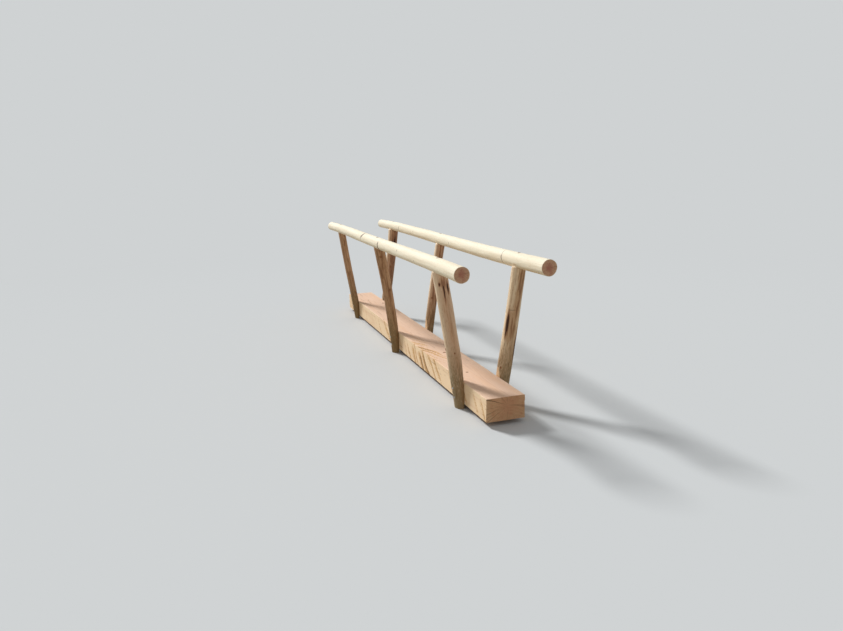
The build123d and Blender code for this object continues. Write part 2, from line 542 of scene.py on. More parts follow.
@dataclass(frozen=True)
class Knot:
    """A branch cut flush with a log: its place along, its turn in degrees, its width and its rise.

    All the knots of one log rise as far as its highest.
    """

    along: float
    turn: float
    width: float = 0.026
    rise: float = 0.0012


@dataclass(frozen=True)
class BarkAndShadeScrap:
    """Bark left on a log, and painted shade laid the same way: its middle and turn, its length, its
    degrees each way, and how thick.

    Up to 0.4 thick it is a brown film, up to 0.8 streaks of inner bark, and from 1 whole bark.
    The wide ones over the posts' sides that face away from the key light, and the thin ones along
    the rails' undersides, are painted shade in these colours.
    """

    along: float
    turn: float
    length: float
    spread: float
    thick: float = 1.0


@dataclass(frozen=True)
class Score:
    """A dark line round part of a log, such as a whorl's ring or a saw's slip.

    It spreads so many degrees each way from its turn, and slants by so much along the log there.
    """

    along: float
    turn: float
    spread: float
    width: float = 0.009
    slant: float = 0.0
    deep: float = 1.0


def make_mesh(name: str, points: np.ndarray, faces: Faces) -> bpy.types.Object:
    """Makes a mesh object in the scene.

    Args:
        name: the object's name.
        points: one row of three coordinates for each corner.
        faces: corner numbers of each face.

    Returns:
        The object.
    """
    mesh = bpy.data.meshes.new(name)
    mesh.from_pydata(points.tolist(), [], faces)
    mesh.update()
    piece = bpy.data.objects.new(name, mesh)
    bpy.context.scene.collection.objects.link(piece)
    return piece


def join_rings(rings: np.ndarray) -> Faces:
    """Joins rings of points into a skin that faces outwards.

    Args:
        rings: rows of rings of points, each anticlockwise seen from the last ring.

    Returns:
        The skin's faces.
    """
    count, n = rings.shape[:2]
    return [
        (i * n + j, i * n + (j + 1) % n, (i + 1) * n + (j + 1) % n, (i + 1) * n + j)
        for i in range(count - 1)
        for j in range(n)
    ]


def close_rings(
    rings: np.ndarray, middles: np.ndarray, axis: int, ridge: tuple[float, float, float]
) -> tuple[np.ndarray, Faces]:
    """Closes both ends of a skin with ridged, sawn faces.

    Args:
        rings: rows of rings of points, each anticlockwise seen from the last ring.
        middles: the middle of each end face.
        axis: number of the coordinate that grows from the first ring to the last.
        ridge: the saw ridges' height, and how fast they come along the other two coordinates.

    Returns:
        Every point, and every face with those of the skin first.
    """
    count, n = rings.shape[:2]
    points, faces = [rings.reshape(-1, 3)], join_rings(rings)
    across = [k for k in range(3) if k != axis]
    total = count * n
    for out, row, middle in ((-1, 0, middles[0]), (1, count - 1, middles[1])):
        outer = np.arange(row * n, row * n + n)
        order = slice(None, None, out)
        for share in END_RINGS:
            layer = middle + (rings[row] - middle) * share
            ridges = 1 + np.sin(layer[:, across] @ ridge[1:])
            layer[:, axis] = middle[axis] - out * ridge[0] * ridges
            points.append(layer)
            inner = np.arange(total, total + n)
            total += n
            quads = np.stack([outer, np.roll(outer, -1), np.roll(inner, -1), inner], 1)
            faces += [tuple(quad) for quad in quads[:, order].tolist()]
            outer = inner
        faces.append(tuple(outer[order].tolist()))
    return np.concatenate(points), faces


def moved(points: np.ndarray, place: Matrix) -> np.ndarray:
    """Moves points by a placement.

    Args:
        points: one row of three coordinates each.
        place: the placement.

    Returns:
        The moved points.
    """
    turn = np.array(place)
    return points @ turn[:3, :3].T + turn[:3, 3]


def way_round(turn: np.ndarray, start: float) -> np.ndarray:
    """The shortest way round a log, in radians, from a start in degrees to turns in radians."""
    return np.angle(np.exp(1j * (turn - math.radians(start))))


def mark(mesh: bpy.types.Mesh, name: str, values: np.ndarray) -> None:
    """Writes one value for each point, or one vector where the values have three columns.

    Args:
        mesh: the mesh that holds them.
        name: what a material reads them by.
        values: one row for each point.
    """
    kind, slot = ("FLOAT_VECTOR", "vector") if values.ndim == 2 else ("FLOAT", "value")
    layer = mesh.attributes.new(name, kind, "POINT")
    layer.data.foreach_set(slot, values.astype(np.float32).ravel())


def smooth(mesh: bpy.types.Mesh, crease: float) -> None:
    """Shades a mesh smooth, but leaves edges sharp that turn by more than the crease in degrees."""
    mesh.polygons.foreach_set("use_smooth", np.ones(len(mesh.polygons), bool))
    mesh.set_sharp_from_angle(angle=math.radians(crease))


def carve(piece: bpy.types.Object, tool: bpy.types.Object) -> None:
    """Cuts a tool's volume out of a piece and throws the tool away.

    Args:
        piece: the mesh that is cut; its second material goes on the cut.
        tool: a closed mesh.
    """
    tool.data.materials.append(piece.data.materials[1])
    work = piece.modifiers.new("cut", "BOOLEAN")
    work.operation = "DIFFERENCE"
    work.solver = "MANIFOLD"
    work.material_mode = "TRANSFER"
    work.object = tool
    state = bpy.context.evaluated_depsgraph_get()
    carved = bpy.data.meshes.new_from_object(
        piece.evaluated_get(state), preserve_all_data_layers=True, depsgraph=state
    )
    piece.modifiers.clear()
    whole = piece.data
    piece.data = carved
    bpy.data.meshes.remove(whole)
    bpy.data.meshes.remove(tool.data)


def solid_bar(rings: np.ndarray) -> bpy.types.Object:
    """Makes a closed bar through rings of points, to cut with.

    Args:
        rings: rows of rings of points, each anticlockwise seen from the last ring.

    Returns:
        The bar.
    """
    count, n = rings.shape[:2]
    faces = join_rings(rings)
    faces += [tuple(reversed(range(n))), tuple(range((count - 1) * n, count * n))]
    return make_mesh("tool", rings.reshape(-1, 3), faces)


def round_bar(seat: Vector, out: Vector, radius: float, length: float) -> bpy.types.Object:
    """Makes a round bar to sink a recess with.

    Args:
        seat: the middle of the recess's flat bottom.
        out: unit direction out of the recess.
        radius: the recess's radius.
        length: length of the bar, more than the recess is deep.

    Returns:
        The bar.
    """
    place = Matrix.Translation(seat) @ out.to_track_quat("Z", "Y").to_matrix().to_4x4()
    angles = np.linspace(0, math.tau, ROUND_SIDES, endpoint=False)
    ring = np.column_stack([radius * np.cos(angles), radius * np.sin(angles), 0 * angles])
    return solid_bar(np.stack([moved(ring + [0, 0, rise], place) for rise in (0, length)]))


def block(low: tuple[float, float, float], high: tuple[float, float, float]) -> bpy.types.Object:
    """Makes a box to cut with.

    Args:
        low: its lowest corner.
        high: its highest corner.

    Returns:
        The box.
    """
    (a, b, c), (d, e, f) = low, high
    return solid_bar(np.array([[(a, b, z), (d, b, z), (d, e, z), (a, e, z)] for z in (c, f)]))


@dataclass(kw_only=True)
class PeeledLog:
    """A round log in its own frame: Z runs along it from its first end, and turn 0 is its X.

    The peeling iron's strokes are real hollows; what they missed keeps its inner bark.
    """

    name: str
    seed: int
    skin: PeeledFinish
    cut: RingedFinish
    knots: tuple[Knot, ...] = ()
    scraps: tuple[BarkAndShadeScrap, ...] = ()
    scores: tuple[Score, ...] = ()
    row_step: float = 0.006
    columns: int = 68
    # The log's girth swells by a few slow waves: how far, how many waves, how long and how many
    # lobes each may have, and what their sum is divided by
    swell: float = 0.0006
    waves: int = 10
    wave_lengths: Range = (0.25, 1.3)
    most_lobes: int = 4
    wave_share: float = 3.0
    # The iron's strokes: how often they cover the skin, their mean length and width, their most
    # depth, and the ranges of half the length, half the width and the depth as shares of these
    cover: float = 1.5
    stroke_length: float = 0.26
    stroke_width: float = 0.021
    stroke_depth: float = 0.0011
    stroke_lengths: Range = (0.25, 0.75)
    stroke_widths: Range = (0.35, 0.7)
    stroke_depths: Range = (0.5, 1.0)
    # A stroke that goes one part in so many of the most depth has cleared the inner bark away
    cleared_by: int = 3
    # How fast knots and scraps, of bark and of painted shade, fade away from their middles, and how
    # abruptly scores end
    knot_fade: float = 1.1
    bark_fade: float = 0.7
    score_ends: int = 6
    score_depth: float = 0.0016
    bark_rise: float = 0.0006
    end_ease: float = 0.0015
    saw_ridge: tuple[float, float, float] = (0.0003, 560.0, 190.0)
    crease: float = 38.0

    def length(self) -> float:
        """The log's length before it is trimmed."""
        raise NotImplementedError

    def placement(self) -> Matrix:
        """Where the log's own frame lies in the row frame."""
        raise NotImplementedError

    def shape(self, along: np.ndarray) -> tuple[np.ndarray, np.ndarray, np.ndarray]:
        """X and Y of the log's middle, and its radius, at places along it."""
        raise NotImplementedError

    def rounded(self, along: np.ndarray, turn: np.ndarray, radius: np.ndarray) -> np.ndarray:
        """The radius with any rounded rim taken off; here there is none."""
        return radius

    def floor_nearness(self, points: np.ndarray) -> np.ndarray:
        """How much darker each point gets towards the foot; here not at all."""
        return np.zeros(len(points))

    def rows(self) -> np.ndarray:
        """Spaces the rings of points evenly between the two eased ends.

        Returns:
            Places along the log where its rings of points lie.
        """
        ease, end = self.end_ease, self.length()
        plain = np.linspace(ease, end - ease, round(end / self.row_step))
        return np.concatenate([[0.0], plain, [end]])

    def strokes(self, along: np.ndarray, turn: np.ndarray) -> np.ndarray:
        """Lays the peeling iron's strokes.

        Args:
            along: distances along the log.
            turn: angles round it, in radians.

        Returns:
            From 0 to 1, how deep the strokes go.
        """
        draw = np.random.default_rng(self.seed)
        radius = self.shape(along)[2]
        flat_a, flat_t, flat_r = along.ravel(), turn.ravel(), radius.ravel()
        deep = np.zeros(along.size)
        skin = self.length() * 2 * math.pi * float(radius.mean())
        for _ in range(int(self.cover * skin / (self.stroke_length * self.stroke_width))):
            middle, aim = draw.uniform(0, self.length()), draw.uniform(0, math.tau)
            long = self.stroke_length * draw.uniform(*self.stroke_lengths)
            wide = self.stroke_width * draw.uniform(*self.stroke_widths)
            near = np.flatnonzero(np.abs(flat_a - middle) < long)
            off = (np.mod(flat_t[near] - aim + math.pi, math.tau) - math.pi) * flat_r[near]
            bowl = (1 - ((flat_a[near] - middle) / long) ** 2 - (off / wide) ** 2).clip(0, 1)
            bowl *= draw.uniform(*self.stroke_depths)
            deep[near] = np.maximum(deep[near], bowl)
        return deep.reshape(along.shape)

    def marks(self, along: np.ndarray, turn: np.ndarray) -> dict[str, np.ndarray]:
        """Strength of each kind of mark at places on the skin.

        Args:
            along: distances along the log.
            turn: angles round it, in radians.

        Returns:
            Values by the names that the skin's finish reads.
        """
        radius = self.shape(along)[2]
        knots, bark_and_shade, scores = (np.zeros_like(along) for _ in range(3))
        for knot in self.knots:
            off = way_round(turn, knot.turn) * radius / (knot.width * KNOT_ACROSS)
            far = np.hypot((along - knot.along) / (knot.width * KNOT_ALONG), off)
            knots = np.maximum(knots, np.exp(-self.knot_fade * far**2))
        for scrap in self.scraps:
            off = way_round(turn, scrap.turn) / math.radians(scrap.spread)
            far = np.hypot((along - scrap.along) / (scrap.length / 2), off)
            bark_and_shade = np.maximum(bark_and_shade, scrap.thick * np.exp(-self.bark_fade * far**2))
        for score in self.scores:
            off = way_round(turn, score.turn) / math.radians(score.spread)
            far = (along - score.along - score.slant * off) / (score.width / 2)
            scores = np.maximum(scores, score.deep * np.exp(-(far**2) - off**self.score_ends))
        return {"knot": knots, "bark": bark_and_shade, "score": scores}

    def relief(self, along: np.ndarray, turn: np.ndarray, stroke: np.ndarray) -> np.ndarray:
        """How far the skin lies inside the plain tapered round.

        Args:
            along: distances along the log.
            turn: angles round it, in radians.
            stroke: how deep the strokes go there, from 0 to 1.

        Returns:
            The depth in metres.
        """
        draw = np.random.default_rng(self.seed + 1)
        wave = np.zeros_like(along)
        for _ in range(self.waves):
            lobes = int(draw.integers(0, self.most_lobes + 1))
            long = draw.uniform(*self.wave_lengths)
            first, second = draw.uniform(0, math.tau, 2)
            wave += np.cos(lobes * turn + first) * np.sin(math.tau * along / long + second)
        marks = self.marks(along, turn)
        depth = stroke * self.stroke_depth + self.swell * (1 + wave / self.wave_share).clip(0, 2)
        # Only bark of more than half its full thickness stands up
        raised = self.bark_rise * (2 * marks["bark"] - 1).clip(0, 1)
        depth += self.score_depth * marks["score"] - raised
        depth -= max((knot.rise for knot in self.knots), default=0.0) * marks["knot"]
        return depth.clip(0, None)

    def whole(self) -> bpy.types.Object:
        """Builds the log with its two sawn ends, in place.

        Returns:
            The log's mesh object, with the skin's and the cut's materials.
        """
        along = self.rows()
        turns = np.linspace(0, math.tau, self.columns, endpoint=False)
        grid_a, grid_t = np.meshgrid(along, turns, indexing="ij")
        stroke = self.strokes(grid_a, grid_t)
        x, y, radius = self.shape(grid_a)
        radius = self.rounded(grid_a, grid_t, radius - self.relief(grid_a, grid_t, stroke))
        radius[[0, -1]] -= self.end_ease
        rings = np.stack([x + radius * np.cos(grid_t), y + radius * np.sin(grid_t), grid_a], -1)
        middles = np.array([(x[row, 0], y[row, 0], along[row]) for row in (0, -1)])
        points, faces = close_rings(rings, middles, 2, self.saw_ridge)
        piece = make_mesh(self.name, moved(points, self.placement()), faces)
        for finish in (self.skin, self.cut):
            piece.data.materials.append(finish.material())
        numbers = np.zeros(len(faces), np.int32)
        numbers[(len(along) - 1) * self.columns :] = 1
        piece.data.polygons.foreach_set("material_index", numbers)
        unpeeled = np.zeros(len(points))
        unpeeled[: stroke.size] = 1 - (self.cleared_by * stroke.ravel()).clip(0, 1)
        mark(piece.data, "unpeeled", unpeeled)
        return piece

    def hand_over(self, piece: bpy.types.Object, node: str, slot: str) -> bpy.types.Object:
        """Writes the marks on the worked log and hands it to the frame.

        Args:
            piece: the log, after all its cuts.
            node: the frame's node that it stands for.
            slot: not used.

        Returns:
            The same log.
        """
        mesh = piece.data
        flat = np.zeros(len(mesh.vertices) * 3, np.float32)
        mesh.vertices.foreach_get("co", flat)
        points = flat.reshape(-1, 3).astype(float)
        own = moved(points, self.placement().inverted())
        x, y, _ = self.shape(own[:, 2])
        marks = self.marks(own[:, 2], np.arctan2(own[:, 1] - y, own[:, 0] - x))
        for key, values in (*marks.items(), ("floor_nearness", self.floor_nearness(points)), ("grain", own)):
            mark(mesh, key, values)
        smooth(mesh, self.crease)
        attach(piece, BODY)
        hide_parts(node)
        return piece


@dataclass(kw_only=True)
class RailLog(PeeledLog):
    """A handrail: a tapered log that lies in the saddles of its side's three posts."""

    side: Side
    butt: float
    tip: float
    lift: tuple[float, ...]
    sway: tuple[float, ...]
    skin: PeeledFinish = RAIL_SKIN
    cut: RingedFinish = RAIL_END
    span: float = 4.538
    level: float = 1.127
    over_all: float = 0.790
    recess: float = 0.015
    recess_reach: float = 0.04
    saddle_sides: int = 96
    saddle_rows: int = 9

    def length(self) -> float:
        """The rail's length."""
        return self.span

    def placement(self) -> Matrix:
        """Own X up, own Y towards the right-hand rail, own Z along the span."""
        x = self.side.value * (self.over_all - self.butt) / 2
        return Matrix(
            ((0, 1, 0, x), (0, 0, 1, -self.span / 2), (1, 0, 0, self.level), (0, 0, 0, 1))
        )

    def shape(self, along: np.ndarray) -> tuple[np.ndarray, np.ndarray, np.ndarray]:
        """Works out the rail's bend and taper.

        Args:
            along: distances from the butt.

        Returns:
            X and Y of the rail's middle, on smooth curves through its stations, and its radius.
        """
        stations = np.linspace(0, self.span, len(self.lift))
        rise = np.polyval(np.polyfit(stations, self.lift, len(self.lift) - 1), along)
        bend = np.polyval(np.polyfit(stations, self.sway, len(self.sway) - 1), along)
        radius = (self.butt + (self.tip - self.butt) * along / self.span) / 2
        return rise, -self.side.value * bend, radius

    def saddle(self, at: float, reach: float, gap: float) -> bpy.types.Object:
        """Makes a short plain copy of the rail, to cut a post's saddle with.

        Args:
            at: the post's place along the span.
            reach: how far the copy runs past it, each way.
            gap: how much wider than the rail the saddle is, each side.

        Returns:
            The copy.
        """
        turns = np.linspace(0, math.tau, self.saddle_sides, endpoint=False)
        middle = at + self.span / 2
        stations = np.linspace(middle - reach, middle + reach, self.saddle_rows)
        along, turn = np.meshgrid(stations, turns, indexing="ij")
        x, y, radius = self.shape(along)
        wide = radius + gap
        rings = np.stack([x + wide * np.cos(turn), y + wide * np.sin(turn), along], -1)
        return solid_bar(moved(rings, self.placement()))

    def build(self) -> bpy.types.Object:
        """Builds and dresses the rail.

        Returns:
            The rail, with a recess over each post.
        """
        rail = self.whole()
        for pair in Pair:
            low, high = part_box(f"{pair.name.lower()}_{self.side.name.lower()}_rail_washer")
            seat = Vector(((low.x + high.x) / 2, (low.y + high.y) / 2, low.z))
            carve(rail, round_bar(seat, Vector((0, 0, 1)), self.recess, self.recess_reach))
        return self.hand_over(rail, f"{self.side.name.lower()}_rail", "peeled_rail")


@dataclass(kw_only=True)
class PostLog(PeeledLog):
    """A post: a bowed log that leans outwards, hewn flat on the baulk's side and saddled."""

    pair: Pair
    rail: RailLog
    foot: float
    head: float
    foot_bow: tuple[float, float]
    middle_bow: tuple[float, float]
    cut: RingedFinish = FRESH_CUT
    row_step: float = 0.005
    columns: int = 64
    swell: float = 0.0012
    stroke_depth: float = 0.0014
    cover: float = 1.15
    stand_off: float = 0.038
    walk_level: float = 0.214
    side_face: float = 0.155
    spare: float = 0.06
    # The rounding of the head's rim, and the closer rings of points there: how many, and how far
    # they run below and above the head, in roundings
    head_ease: float = 0.020
    head_rows: int = 34
    head_span: tuple[float, float] = (1.6, 0.6)
    saddle_gap: float = 0.0003
    saddle_reach: float = 0.2
    recess: float = 0.017
    recess_reach: float = 0.05
    trim_reach: float = 0.5
    darkening_height: float = 0.6

    def node(self) -> str:
        """The frame's node that the post stands for."""
        return f"{self.pair.name.lower()}_{self.rail.side.name.lower()}_post"

    def head_level(self) -> float:
        """The level that the head is sawn off at."""
        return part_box(self.node())[1].z

    def ends(self) -> tuple[Vector, Vector]:
        """Finds the raw log's straight reference line.

        Returns:
            Its low end and its high end.
        """
        side, rail = self.rail.side.value, self.rail
        rise, bend, _ = rail.shape(np.float64(self.pair.value + rail.span / 2))
        head_x, head_z = rail.placement().translation.x + float(bend), rail.level + float(rise)
        foot_x = side * (self.side_face + self.stand_off)
        lean = (head_x - foot_x) / (head_z - self.walk_level)
        low, high = (
            Vector((foot_x + lean * (z - self.walk_level), self.pair.value, z))
            for z in (-self.spare, rail.level + self.spare)
        )
        return low, high

    def length(self) -> float:
        """The raw log's length."""
        low, high = self.ends()
        return (high - low).length

    def placement(self) -> Matrix:
        """Finds where the post's own frame lies.

        Returns:
            Own Z up the post, own Y along the span, own X towards the right-hand rail.
        """
        low, high = self.ends()
        up = (high - low).normalized()
        return Matrix(
            ((up.z, 0, up.x, low.x), (0, 1, 0, low.y), (-up.x, 0, up.z, low.z), (0, 0, 0, 1))
        )

    def shape(self, along: np.ndarray) -> tuple[np.ndarray, np.ndarray, np.ndarray]:
        """Works out the post's bow and taper.

        Args:
            along: distances from the foot.

        Returns:
            X and Y of the post's middle, bowed through its foot, middle and head, and its radius.
        """
        share = along / self.length()
        first, second = 2 * (share - 0.5) * (share - 1), 4 * share * (1 - share)
        out = self.rail.side.value * (self.foot_bow[0] * first + self.middle_bow[0] * second)
        on = self.foot_bow[1] * first + self.middle_bow[1] * second
        return out, on, (self.foot + (self.head - self.foot) * share) / 2

    def rows(self) -> np.ndarray:
        """Sets the rings of points closer together at the rounded head.

        Returns:
            Places along the log where its rings of points lie.
        """
        place, (below, above) = self.placement(), self.head_span
        top = (self.head_level() - place[2][3]) / place[2][2]
        low, high = top - below * self.head_ease, top + above * self.head_ease
        return np.unique(np.concatenate([super().rows(), np.linspace(low, high, self.head_rows)]))

    def rounded(self, along: np.ndarray, turn: np.ndarray, radius: np.ndarray) -> np.ndarray:
        """Rounds off the rim of the level head.

        Args:
            along: distances from the foot.
            turn: angles round the post, in radians.
            radius: the radius before.

        Returns:
            The radius after.
        """
        place = self.placement()
        across = self.shape(along)[0] + radius * np.cos(turn)
        level = place[2][0] * across + place[2][2] * along + place[2][3]
        below = ((self.head_level() - level) / self.head_ease).clip(0, 1)
        return radius - self.head_ease * (1 - np.sqrt(1 - (1 - below) ** 2))

    def floor_nearness(self, points: np.ndarray) -> np.ndarray:
        """How much darker each point gets towards the foot, down from the darkening height."""
        return (1 - points[:, 2] / self.darkening_height).clip(0, 1)

    def screw_seats(self) -> list[Vector]:
        """Finds the seats of the post's two coach screw washers.

        Returns:
            The middle of each seat.
        """
        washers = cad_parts[self.node().replace("_post", "_coach_washers")]
        points = [v.co for v in washers.data.vertices]
        middle = sum(p.z for p in points) / len(points)
        seats = []
        for group in ([p for p in points if p.z > middle], [p for p in points if p.z <= middle]):
            x = min((p.x for p in group), key=abs)
            z = (min(p.z for p in group) + max(p.z for p in group)) / 2
            seats.append(Vector((x, self.pair.value, z)))
        return seats

    def build(self) -> bpy.types.Object:
        """Builds and dresses the post.

        Returns:
            The post: trimmed level, hewn flat, saddled, and recessed for its two screws.
        """
        post = self.whole()
        side, y, far = self.rail.side.value, self.pair.value, self.trim_reach
        low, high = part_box(self.node())
        inner, outer = sorted((side * (self.side_face - far), side * self.side_face))
        carve(post, block((-far, y - far, high.z), (far, y + far, high.z + far)))
        carve(post, block((-far, y - far, low.z - far), (far, y + far, low.z)))
        carve(post, block((inner, y - far, low.z - far), (outer, y + far, high.z + far)))
        carve(post, self.rail.saddle(y, self.saddle_reach, self.saddle_gap))
        for seat in self.screw_seats():
            carve(post, round_bar(seat, Vector((side, 0, 0)), self.recess, self.recess_reach))
        return self.hand_over(post, self.node(), "peeled_post")


@dataclass(frozen=True)
class RipCut:
    """How the chain saw left one face of the baulk, in slanted facets that it bit into.

    The slant is how far a facet runs along the timber for each metre across. Bites have their
    middles from start on, measured across the face. They are as strong as bite, and by bite_more
    stronger where the chain bit hardest.
    """

    slant: float
    depth: float
    start: float
    bite: float
    bite_more: float = 0.0


@dataclass
class SawnBaulk:
    """The squared baulk: one thick timber with eased long edges, left as the saw ripped it."""

    name: str = "sawn_timber"
    node: str = "deck_baulk"
    finish: BaulkFinish = BAULK_WOOD
    cut: RingedFinish = BAULK_END
    seed: int = 41
    row_step: float = 0.006
    side_step: float = 0.006
    top_step: float = 0.010
    arris: float = 0.006
    arris_steps: int = 4
    # The facets of the top meet those of the left side at the arris
    left_cut: RipCut = RipCut(slant=0.85, depth=0.0032, start=0.04, bite=0.5, bite_more=0.5)
    right_cut: RipCut = RipCut(slant=0.85, depth=0.0032, start=0.04, bite=0.5)
    top_cut: RipCut = RipCut(slant=2.4, depth=0.0012, start=-0.05, bite=0.2, bite_more=0.7)
    # Where the chain bit hardest: its place along the timber, and how far that reaches each way
    bite_at: float = -0.72
    bite_reach: float = 0.55
    # The facets of a face: how many, where the first begins, their mean length along the timber,
    # the ranges that single ones have of that length and of the depth, and the share of a facet in
    # which it comes up to its full depth
    facet_count: int = 90
    facets_from: float = -3.4
    facet: float = 0.112
    facet_lengths: Range = (0.45, 1.55)
    facet_depths: Range = (0.35, 1.1)
    facet_rise: float = 0.12
    # The bite at the start of a facet: the ranges of its share of the facet and of half its
    # length across the face, and how much further from its edge it may lie
    bite_shares: Range = (0.4, 1.0)
    bite_halves: Range = (0.08, 0.15)
    bite_shift: float = 0.1
    # How the saw wavered: size, waves along the timber and phase; and how its slant changed
    wavers: tuple[tuple[float, float, float], ...] = ((0.02, 9.0, 0.0), (0.012, 23.0, 1.0))
    slant_waver: tuple[float, float] = (0.25, 4.0)
    # How far the faces have warped, in slow waves: their number, their ranges of length along the
    # timber and round it, and what their sum is divided by
    warp: float = 0.0007
    waves: int = 10
    wave_lengths: Range = (0.3, 1.4)
    wave_breadths: Range = (0.15, 0.7)
    wave_share: float = 4.0
    # How much of the sides is sapwood, how much of the edges of the top and the bottom is, and how
    # abruptly that ends inwards
    sap_sides: float = 0.85
    sap_edges: float = 0.15
    sap_ends: int = 6
    saw_ridge: tuple[float, float, float] = (0.0006, 90.0, 230.0)
    crease: float = 50.0
    # Knots on the walking surface: X, Y and width; then how far they stand up, and the Z that a
    # normal has at least where the timber's skin counts as that surface
    knots: tuple[tuple[float, float, float], ...] = (
        (0.006, -0.975, 0.03),
        (-0.031, -1.602, 0.024),
        (0.098, 1.455, 0.036),
        (-0.092, 0.35, 0.026),
        (-0.02, 1.72, 0.022),
    )
    knot_rise: float = 0.0004
    top_from: float = 0.9

    def outline(self, width: float, depth: float) -> tuple[np.ndarray, np.ndarray]:
        """Draws the timber's outline across the span.

        Args:
            width: over all, along X.
            depth: over all, along Z.

        Returns:
            Points round the middle, anticlockwise seen from the far end, and the unit normal at
            each.
        """
        points, normals = [], []
        r = self.arris
        for quarter, step in enumerate((self.top_step, self.side_step) * 2):
            turn = quarter * math.pi / 2
            across, out = (width, depth / 2) if quarter % 2 == 0 else (depth, width / 2)
            ahead = np.array([math.cos(turn), -math.sin(turn)])
            normal = np.array([math.sin(turn), math.cos(turn)])
            half = across / 2 - r
            for t in np.linspace(-half, half, round(2 * half / step)):
                points.append(ahead * t + normal * out)
                normals.append(normal)
            for a in np.linspace(0, math.pi / 2, self.arris_steps + 1)[1:-1]:
                edge = normal * math.cos(a) + ahead * math.sin(a)
                points.append(ahead * half + normal * (out - r) + edge * r)
                normals.append(edge)
        return np.array(points), np.array(normals)

    def facets(
        self, y: np.ndarray, down: np.ndarray, cut: RipCut, seed: int
    ) -> tuple[np.ndarray, np.ndarray]:
        """Lays the slanted facets that a freehand rip cut leaves on one face.

        Args:
            y: places along the span.
            down: distances across the face.
            cut: how the saw left the face.
            seed: the face's own seed.

        Returns:
            As shares of the cut's depth and strength, how deep the face is cut, and how strongly
            the chain bit where it had stopped.
        """
        draw, count = np.random.default_rng(seed), self.facet_count
        lengths = self.facet * draw.uniform(*self.facet_lengths, count)
        stops = np.cumsum(lengths) + self.facets_from
        strength = draw.uniform(*self.facet_depths, count)
        reach = draw.uniform(*self.bite_shares, count)
        middle = cut.start + draw.uniform(0, self.bite_shift, count)
        half = draw.uniform(*self.bite_halves, count)
        waver = sum(size * np.sin(y * rate + phase) for size, rate, phase in self.wavers)
        change, rate = self.slant_waver
        along = y + cut.slant * down * (1 + change * np.sin(y * rate)) + waver
        number = np.searchsorted(stops, along).clip(1, count - 1)
        share = ((along - stops[number - 1]) / (stops[number] - stops[number - 1])).clip(0, 1)
        deep = np.minimum(1 - share, share / self.facet_rise) * strength[number]
        fading = (share / reach[number]) ** 2 + ((down - middle[number]) / half[number]) ** 4
        return deep, np.exp(-fading) * strength[number]

    def ripped(
        self,
        x: np.ndarray,
        y: np.ndarray,
        z: np.ndarray,
        upright: np.ndarray,
        corner: tuple[float, float],
    ) -> tuple[np.ndarray, np.ndarray]:
        """Lays the facets on the four long faces.

        Args:
            x: places across the timber.
            y: places along it.
            z: levels.
            upright: 1 on the two sides, 0 on the top and the bottom.
            corner: X of the left side and Z of the top.

        Returns:
            How deep the faces are cut, in metres, and how strongly the chain bit there.
        """
        left, top = corner
        hardest = np.exp(-(((y - self.bite_at) / self.bite_reach) ** 2))
        depth, bitten = np.zeros_like(y), np.zeros_like(y)
        for weight, down, cut, seed in (
            (upright * (x < 0), top - z, self.left_cut, self.seed),
            (upright * (x > 0), top - z, self.right_cut, self.seed + 1),
            (1 - upright, x - left, self.top_cut, self.seed),
        ):
            deep, bite = self.facets(y, down, cut, seed)
            depth += weight * deep * cut.depth
            bitten += weight * bite * (cut.bite + cut.bite_more * hardest)
        return depth, bitten

    def warped(self, x: np.ndarray, y: np.ndarray, z: np.ndarray) -> np.ndarray:
        """How far the faces have warped inwards.

        Args:
            x: places across the timber.
            y: places along it.
            z: levels.

        Returns:
            The depth in metres.
        """
        draw = np.random.default_rng(self.seed)
        wave = np.zeros_like(y)
        for _ in range(self.waves):
            long, across = draw.uniform(*self.wave_lengths), draw.uniform(*self.wave_breadths)
            first, second = draw.uniform(0, math.tau, 2)
            round_it = np.sin(math.tau * (x + z) / across + second)
            wave += np.sin(math.tau * y / long + first) * round_it
        return self.warp * (1 + wave / self.wave_share).clip(0, 2)

    def knotty(self, x: np.ndarray, y: np.ndarray) -> np.ndarray:
        """Strength of the knots, from 0 to 1.

        Args:
            x: places across the timber.
            y: places along it.

        Returns:
            The strength at each place.
        """
        strength = np.zeros_like(y)
        for at_x, at_y, width in self.knots:
            far = np.hypot((x - at_x) / (width * KNOT_ACROSS), (y - at_y) / (width * KNOT_ALONG))
            strength = np.maximum(strength, np.exp(-(far**2)))
        return strength

